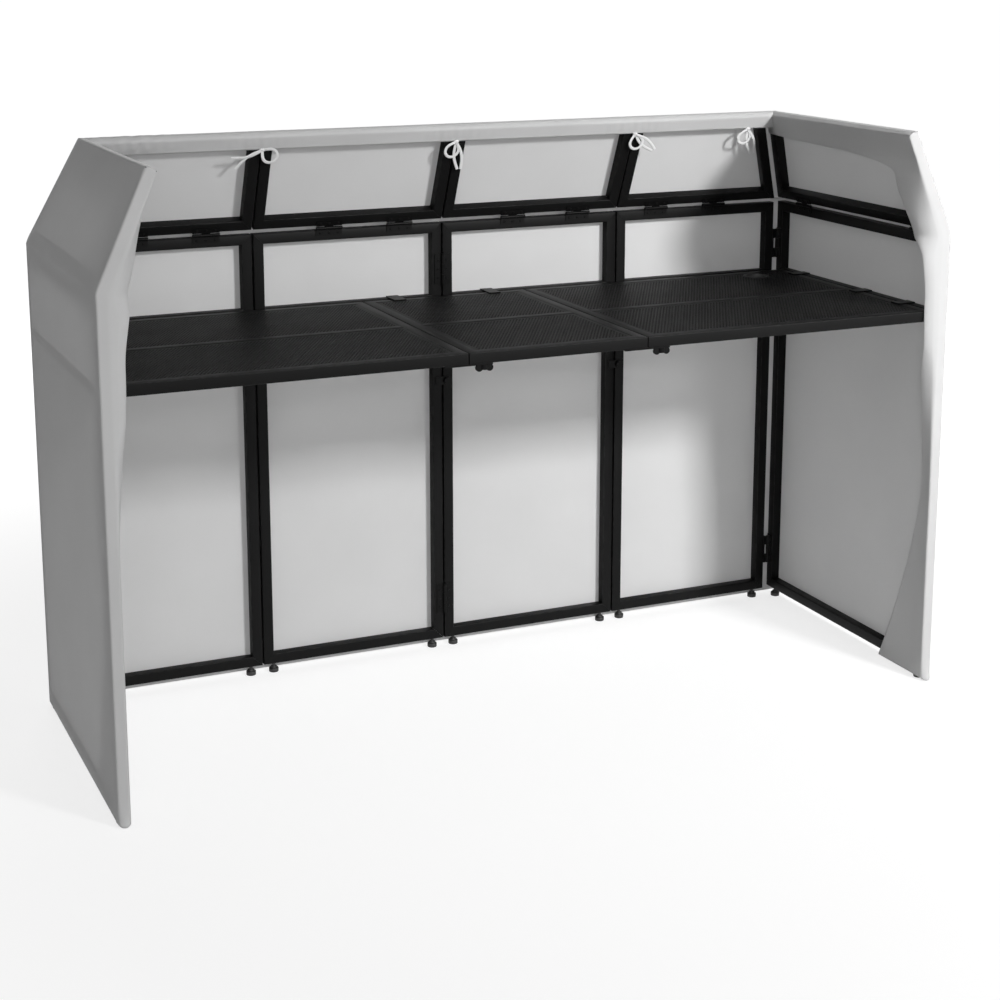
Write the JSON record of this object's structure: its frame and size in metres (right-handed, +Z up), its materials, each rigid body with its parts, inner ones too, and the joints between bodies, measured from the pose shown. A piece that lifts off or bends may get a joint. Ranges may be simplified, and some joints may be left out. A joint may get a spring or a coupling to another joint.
{
  "type": "foldable dj booth",
  "caption": "Folding DJ booth: tube-frame front wall, wings and leaning flaps under a white stretch cover, with a lift-off perforated table and levelling feet.",
  "frame": {"origin": "on the floor under the middle of the booth", "axes": "+X along the front wall, to the right of whoever works at the table; +Y out through the front wall to the audience; +Z up"},
  "size_m": [1.9988, 0.7178, 1.3446],
  "materials": {
    "frame_tube": "satin black powder coat",
    "hinge_metal": "black steel",
    "perforated_sheet": "perforated black steel sheet",
    "fitting_plastic": "moulded black",
    "foot_plastic": "moulded black",
    "cover_fabric": "white stretch knit",
    "lace": "flat tie lace"
  },
  "bodies": {
    "front_wall": {"panel_frame_1": "frame_tube", "panel_frame_2": "frame_tube", "panel_frame_3": "frame_tube", "panel_frame_4": "frame_tube", "panel_hinges": "hinge_metal", "panel_latches": "hinge_metal", "cover_front_lower": "cover_fabric", "cover_seams": "cover_fabric", "flap_hinge_base_front": "hinge_metal", "wing_hinge_base_left": "hinge_metal", "wing_hinge_base_right": "hinge_metal"},
    "front_flaps": {"flap_frame_1": "frame_tube", "flap_frame_2": "frame_tube", "flap_frame_3": "frame_tube", "flap_frame_4": "frame_tube", "flap_hinge_leaf_front": "hinge_metal", "cover_front_upper": "cover_fabric", "tie_bow_1": "lace", "tie_bow_2": "lace", "tie_bow_3": "lace", "tie_bow_4": "lace"},
    "tabletop": {"table_frame_left": "frame_tube", "table_frame_centre": "frame_tube", "table_frame_right": "frame_tube", "table_sheet_left": "perforated_sheet", "table_sheet_centre": "perforated_sheet", "table_sheet_right": "perforated_sheet", "table_tongues": "frame_tube", "table_joining_plates": "frame_tube", "cable_grommets": "fitting_plastic"},
    "wing_bolt_left": {"wing_bolt_left": "fitting_plastic"},
    "wing_bolt_right": {"wing_bolt_right": "fitting_plastic"},
    "left_wing": {"wing_frame_left": "frame_tube", "wing_hinge_leaf_left": "hinge_metal", "cover_left_lower": "cover_fabric", "flap_hinge_base_left": "hinge_metal", "cover_fold_left": "cover_fabric"},
    "left_flap": {"flap_frame_left": "frame_tube", "flap_hinge_leaf_left": "hinge_metal", "cover_left_upper": "cover_fabric"},
    "right_wing": {"wing_frame_right": "frame_tube", "wing_hinge_leaf_right": "hinge_metal", "cover_right_lower": "cover_fabric", "flap_hinge_base_right": "hinge_metal", "cover_fold_right": "cover_fabric"},
    "right_flap": {"flap_frame_right": "frame_tube", "flap_hinge_leaf_right": "hinge_metal", "cover_right_upper": "cover_fabric"},
    "levelling_foot_1": {"levelling_foot_1": "foot_plastic"},
    "levelling_foot_2": {"levelling_foot_2": "foot_plastic"},
    "levelling_foot_3": {"levelling_foot_3": "foot_plastic"},
    "levelling_foot_4": {"levelling_foot_4": "foot_plastic"},
    "levelling_foot_5": {"levelling_foot_5": "foot_plastic"},
    "levelling_foot_6": {"levelling_foot_6": "foot_plastic"},
    "levelling_foot_7": {"levelling_foot_7": "foot_plastic"},
    "levelling_foot_8": {"levelling_foot_8": "foot_plastic"},
    "levelling_foot_9": {"levelling_foot_9": "foot_plastic"},
    "levelling_foot_10": {"levelling_foot_10": "foot_plastic"},
    "levelling_foot_11": {"levelling_foot_11": "foot_plastic"},
    "levelling_foot_12": {"levelling_foot_12": "foot_plastic"}
  },
  "joints": [
    {"name": "front_flaps_tilt", "type": "hinge", "parent": "front_wall", "child": "front_flaps", "pos_m": [0, 0.3285, 1.0985], "axis": [-1, 0, 0], "range_deg": [0, 24], "deforming": ["cover_seams", "cover_fold_left", "cover_fold_right"]},
    {"name": "left_wing_swing", "type": "hinge", "parent": "front_wall", "child": "left_wing", "pos_m": [-0.9605, 0.3325, 0], "axis": [0, 0, -1], "range_deg": [0, 12], "deforming": ["cover_seams"]},
    {"name": "left_flap_tilt", "type": "hinge", "parent": "left_wing", "child": "left_flap", "pos_m": [-0.969, 0, 1.0985], "axis": [0, -1, 0], "range_deg": [0, 24], "deforming": ["cover_fold_left", "cover_seams"]},
    {"name": "right_wing_swing", "type": "hinge", "parent": "front_wall", "child": "right_wing", "pos_m": [0.9605, 0.3325, 0], "axis": [0, 0, 1], "range_deg": [0, 12], "deforming": ["cover_seams"]},
    {"name": "right_flap_tilt", "type": "hinge", "parent": "right_wing", "child": "right_flap", "pos_m": [0.969, 0, 1.0985], "axis": [0, 1, 0], "range_deg": [0, 24], "deforming": ["cover_fold_right", "cover_seams"]},
    {"name": "table_lift", "type": "slide", "parent": "front_wall", "child": "tabletop", "axis": [0, 0, 1], "range_m": [0, 0.12]},
    {"name": "wing_bolt_left_turn", "type": "hinge", "parent": "tabletop", "child": "wing_bolt_left", "pos_m": [-0.1735, -0.327, 0.88], "axis": [0, 0, 1], "continuous": true},
    {"name": "wing_bolt_right_turn", "type": "hinge", "parent": "tabletop", "child": "wing_bolt_right", "pos_m": [0.2535, -0.327, 0.88], "axis": [0, 0, 1], "continuous": true},
    {"name": "levelling_foot_1_screw", "type": "slide", "parent": "front_wall", "child": "levelling_foot_1", "axis": [0, 0, -1], "range_m": [0, 0.012]},
    {"name": "levelling_foot_2_screw", "type": "slide", "parent": "front_wall", "child": "levelling_foot_2", "axis": [0, 0, -1], "range_m": [0, 0.012]},
    {"name": "levelling_foot_3_screw", "type": "slide", "parent": "front_wall", "child": "levelling_foot_3", "axis": [0, 0, -1], "range_m": [0, 0.012]},
    {"name": "levelling_foot_4_screw", "type": "slide", "parent": "front_wall", "child": "levelling_foot_4", "axis": [0, 0, -1], "range_m": [0, 0.012]},
    {"name": "levelling_foot_5_screw", "type": "slide", "parent": "front_wall", "child": "levelling_foot_5", "axis": [0, 0, -1], "range_m": [0, 0.012]},
    {"name": "levelling_foot_6_screw", "type": "slide", "parent": "front_wall", "child": "levelling_foot_6", "axis": [0, 0, -1], "range_m": [0, 0.012]},
    {"name": "levelling_foot_7_screw", "type": "slide", "parent": "front_wall", "child": "levelling_foot_7", "axis": [0, 0, -1], "range_m": [0, 0.012]},
    {"name": "levelling_foot_8_screw", "type": "slide", "parent": "front_wall", "child": "levelling_foot_8", "axis": [0, 0, -1], "range_m": [0, 0.012]},
    {"name": "levelling_foot_9_screw", "type": "slide", "parent": "left_wing", "child": "levelling_foot_9", "axis": [0, 0, -1], "range_m": [0, 0.012]},
    {"name": "levelling_foot_10_screw", "type": "slide", "parent": "right_wing", "child": "levelling_foot_10", "axis": [0, 0, -1], "range_m": [0, 0.012]},
    {"name": "levelling_foot_11_screw", "type": "slide", "parent": "left_wing", "child": "levelling_foot_11", "axis": [0, 0, -1], "range_m": [0, 0.012]},
    {"name": "levelling_foot_12_screw", "type": "slide", "parent": "right_wing", "child": "levelling_foot_12", "axis": [0, 0, -1], "range_m": [0, 0.012]}
  ],
  "couplings": [
    {"joint": "left_flap_tilt", "follows": "front_flaps_tilt", "ratio": 1},
    {"joint": "right_flap_tilt", "follows": "front_flaps_tilt", "ratio": 1}
  ]
}
